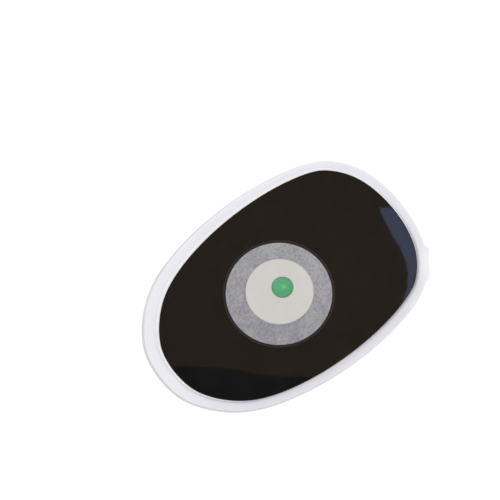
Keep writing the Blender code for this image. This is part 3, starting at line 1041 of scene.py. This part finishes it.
def make_floor():
    """A pale floor that looks white to the eye and in reflections, and keeps the pad's shadow."""
    corners = ((-1, -1), (1, -1), (1, 1), (-1, 1))
    points = [(FLOOR_REACH * x, FLOOR_REACH * y, -CONTACT_GAP) for x, y in corners]
    floor = add_mesh("floor", points, [(0, 1, 2, 3)])
    finish = Finish("floor")
    finish.set(Roughness=0.9, Specular_IOR_Level=0.0)
    clouds = finish.noise(scale=3.0)
    finish.to("Base Color", finish.tones(clouds, (0.44, 0.44, 0.44), (0.46, 0.46, 0.46)))
    ray = finish.node("ShaderNodeLightPath").outputs
    seen = finish.calculate("MAXIMUM", ray["Is Camera Ray"], ray["Is Glossy Ray"])
    seen = finish.calculate("MAXIMUM", seen, ray["Is Transmission Ray"])
    glow = finish.glow(WHITE, finish.calculate("MULTIPLY", seen, FLOOR_GLOW))
    both = finish.node("ShaderNodeAddShader")
    finish.link(finish.shader.outputs["BSDF"], both.inputs[0])
    finish.link(glow, both.inputs[1])
    finish.surface(both.outputs["Shader"])
    give(floor, finish.material)


def area_light(name, place, size, power):
    """A soft square lamp that shines on the pad and doesn't show in reflections."""
    data = bpy.data.lights.new(name, "AREA")
    data.shape = "SQUARE"
    data.size = size
    data.energy = power
    lamp = bpy.data.objects.new(name, data)
    lamp.visible_glossy = False
    lamp.location = place
    aim(lamp, VIEW_CENTRE - place)
    bpy.context.scene.collection.objects.link(lamp)


def make_lamps():
    area_light("key_lamp", Vector((-0.35, 0.75, 1.50)), size=1.1, power=13.9)
    area_light("fill_lamp", Vector((0.15, -1.00, 0.80)), size=0.8, power=2.4)


def make_world():
    """A room with pale walls and a dimmer ceiling."""
    world = bpy.data.worlds.new("room")
    bpy.context.scene.world = world
    world.use_nodes = True
    tree = world.node_tree
    background = tree.nodes["Background"]
    place = tree.nodes.new("ShaderNodeTexCoord")
    split = tree.nodes.new("ShaderNodeSeparateXYZ")
    ramp = tree.nodes.new("ShaderNodeValToRGB")
    tree.links.new(place.outputs["Generated"], split.inputs["Vector"])
    tree.links.new(split.outputs["Z"], ramp.inputs["Fac"])
    tree.links.new(ramp.outputs["Color"], background.inputs["Color"])
    wall, ceiling = ramp.color_ramp.elements
    wall.position = WALL_TOP
    wall.color = (*WALL_COLOUR, 1.0)
    ceiling.position = CEILING_START
    ceiling.color = (*CEILING_COLOUR, 1.0)
    background.inputs["Strength"].default_value = 1.0


def face_point(across, down):
    """A point of the pad's face from its place in the photo, in pixels from the top left."""
    right = Vector((math.cos(CAMERA_AZIMUTH), math.sin(CAMERA_AZIMUTH), 0.0))
    ahead = Vector((-math.sin(CAMERA_AZIMUTH), math.cos(CAMERA_AZIMUTH), 0.0))
    pixel = VIEW_WIDTH / PHOTO_PIXELS
    middle = PHOTO_PIXELS / 2
    shift = right * (across - middle) * pixel
    shift += ahead * (middle - down) * pixel / math.sin(CAMERA_ELEVATION)
    return Vector((VIEW_CENTRE.x, VIEW_CENTRE.y, face_box.top)) + shift


def mirrored_place(point, height):
    """Where something at this height shows as a reflection at a point of the pad's face."""
    camera_place = VIEW_CENTRE + towards(CAMERA_AZIMUTH, CAMERA_ELEVATION) * CAMERA_DISTANCE
    below = Vector((camera_place.x, camera_place.y, 2 * point.z - camera_place.z))
    return below + (point - below) * (height - below.z) / (point.z - below.z)


def make_card(name, pixels, height, colour, strength, fade=None):
    """A card that only shows in reflections, at the place where the photo shows them.

    A card with a fade is full within the near distance of its middle and gone at the far one.
    """
    corners = [mirrored_place(face_point(*pixel), height) for pixel in pixels]
    card = add_mesh(name, corners, [tuple(range(len(corners)))])
    card.visible_camera = False
    card.visible_diffuse = False
    card.visible_shadow = False
    card.visible_transmission = False
    finish = Finish(name, plastic=False)
    finish.material.cycles.emission_sampling = "NONE"
    shown = finish.glow(colour, strength)
    if fade:
        middle = sum(corners, Vector()) / len(corners)
        clear = finish.node("ShaderNodeBsdfTransparent").outputs["BSDF"]
        shown = finish.mixed(finish.nearness(middle, *fade), clear, shown)
    finish.surface(shown)
    give(card, finish.material)


def make_cards():
    """What the photo shows in the glossy face: ceiling, window, a lamp and a darker corner."""
    brown, blue = (0.265, 0.167, 0.067), (0.89, 1.10, 1.78)
    small, large = (3.0 * MM, 10.0 * MM), (12.0 * MM, 23.0 * MM)
    make_card("ceiling_card", CEILING_PIXELS, height=0.9, colour=brown, strength=1.0)
    make_card("window_card", WINDOW_PIXELS, height=0.5, colour=blue, strength=1.0)
    make_card("highlight_card", HIGHLIGHT_PIXELS, height=0.1, colour=WHITE, strength=4.5, fade=small)
    make_card("glow_card", GLOW_PIXELS, height=0.11, colour=WHITE, strength=1.2, fade=large)
    make_card("dark_card", DARK_PIXELS, height=0.5, colour=WHITE, strength=0.0)


dress_liner()
dress_face()
dress_ring()
dress_foam()
dress_solids()
make_camera()
make_floor()
make_world()
make_lamps()
make_cards()

bpy.context.scene.view_settings.view_transform = "Standard"
